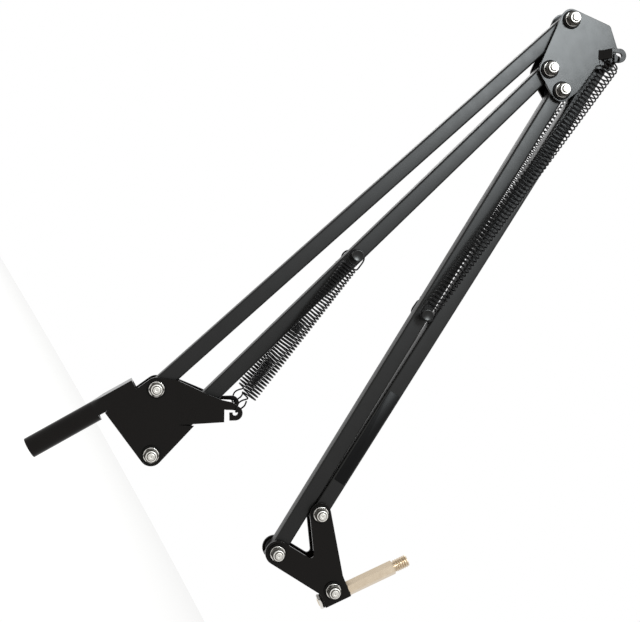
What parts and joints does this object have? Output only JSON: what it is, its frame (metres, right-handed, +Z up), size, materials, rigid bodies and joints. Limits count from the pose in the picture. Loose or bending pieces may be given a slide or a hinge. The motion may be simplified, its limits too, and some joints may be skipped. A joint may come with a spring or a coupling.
{
  "type": "microphone boom arm",
  "caption": "Spring-balanced desk boom arm for a microphone: two folding four-bar arms of square tube on a spigot base, with a tilting threaded stud",
  "frame": {"origin": "on the spigot's axis at its shoulder, where the base bracket opens out of the round spigot", "axes": "+Z up along the spigot, +X to the right in the view that shows the nuts, +Y away from that viewer"},
  "size_m": [0.2651, 0.039, 0.4487],
  "materials": {
    "bracket_paint": "black satin powder coat on folded steel sheet",
    "tube_paint": "black satin powder coat on square steel tube",
    "black_bolt": "black oxide steel",
    "nickel_nut": "bright nickel plate",
    "nylon": "black nylon",
    "pin_steel": "dark phosphated steel",
    "spring_wire": "black lacquered spring steel wire",
    "stud_plate": "satin nickel plate with a warm tint",
    "label_film": "blank black film"
  },
  "bodies": {
    "base": {"base_bracket": "bracket_paint", "base_bolts": "black_bolt", "base_washers": "black_bolt", "base_nut_washers": "nickel_nut", "base_nuts": "nickel_nut", "base_spacers": "nylon"},
    "lower_main": {"lower_main_tube": "tube_paint"},
    "lower_link": {"lower_link_tube": "tube_paint", "lower_spring_pin": "pin_steel"},
    "lower_springs": {"lower_spring_front": "spring_wire", "lower_spring_back": "spring_wire"},
    "knee": {"knee_bracket": "bracket_paint", "knee_bolts": "black_bolt", "knee_washers": "black_bolt", "knee_nut_washers": "nickel_nut", "knee_nuts": "nickel_nut", "knee_spacers": "nylon", "knee_rivet": "black_bolt"},
    "upper_main": {"upper_main_tube": "tube_paint", "upper_spring_pin": "pin_steel"},
    "upper_link": {"upper_link_tube": "tube_paint", "label": "label_film"},
    "upper_springs": {"upper_spring_front": "spring_wire", "upper_spring_back": "spring_wire"},
    "head": {"head_bracket": "bracket_paint", "head_bolts": "black_bolt", "head_washers": "black_bolt", "head_nut_washers": "nickel_nut", "head_nuts": "nickel_nut", "head_spacers": "nylon"},
    "stud": {"swivel_block": "bracket_paint", "threaded_stud": "stud_plate", "stud_washer": "black_bolt", "stud_nut": "nickel_nut"}
  },
  "joints": [
    {"name": "lower_swing", "type": "hinge", "parent": "base", "child": "lower_main", "pos_m": [0.0056, 0, 0.0377], "axis": [0, -1, 0], "range_deg": [-40, 4]},
    {"name": "lower_link_pivot", "type": "hinge", "parent": "base", "child": "lower_link", "pos_m": [0.0389, 0, 0.0155], "axis": [0, -1, 0], "range_deg": [-41.6, 4.3]},
    {"name": "knee_pivot", "type": "hinge", "parent": "lower_main", "child": "knee", "pos_m": [-0.07168, 0, 0.38173], "axis": [0, -1, 0], "range_deg": [-5.6, 55.2]},
    {"name": "lower_springs_turn", "type": "hinge", "parent": "lower_link", "child": "lower_springs", "pos_m": [-0.00588, 0, 0.18488], "axis": [0, -1, 0], "range_deg": [-19.3, 2.1], "deforming": ["lower_spring_front", "lower_spring_back"]},
    {"name": "upper_fold", "type": "hinge", "parent": "knee", "child": "upper_main", "pos_m": [-0.03488, 0, 0.35423], "axis": [0, -1, 0], "range_deg": [0, 70]},
    {"name": "upper_link_pivot", "type": "hinge", "parent": "knee", "child": "upper_link", "pos_m": [-0.03748, 0, 0.38973], "axis": [0, -1, 0], "range_deg": [-0.1, 71]},
    {"name": "head_pivot", "type": "hinge", "parent": "upper_main", "child": "head", "pos_m": [0.13181, 0, 0.05251], "axis": [0, -1, 0], "range_deg": [-75.8, 0.1]},
    {"name": "upper_springs_turn", "type": "hinge", "parent": "upper_main", "child": "upper_springs", "pos_m": [0.04819, 0, 0.20636], "axis": [0, -1, 0], "range_deg": [-9.9, 0.1], "deforming": ["upper_spring_front", "upper_spring_back"]},
    {"name": "stud_tilt", "type": "hinge", "parent": "head", "child": "stud", "pos_m": [0.17102, 0, 0.07121], "axis": [0, -1, 0], "range_deg": [-95, 30]}
  ],
  "couplings": [
    {"joint": "lower_link_pivot", "follows": "lower_swing", "ratio": 1.0363},
    {"joint": "knee_pivot", "follows": "lower_swing", "ratio": -1.3752},
    {"joint": "lower_springs_turn", "follows": "lower_swing", "ratio": 0.4778},
    {"joint": "upper_link_pivot", "follows": "upper_fold", "ratio": 1.0126},
    {"joint": "head_pivot", "follows": "upper_fold", "ratio": -1.0812},
    {"joint": "upper_springs_turn", "follows": "upper_fold", "ratio": -0.1399}
  ]
}
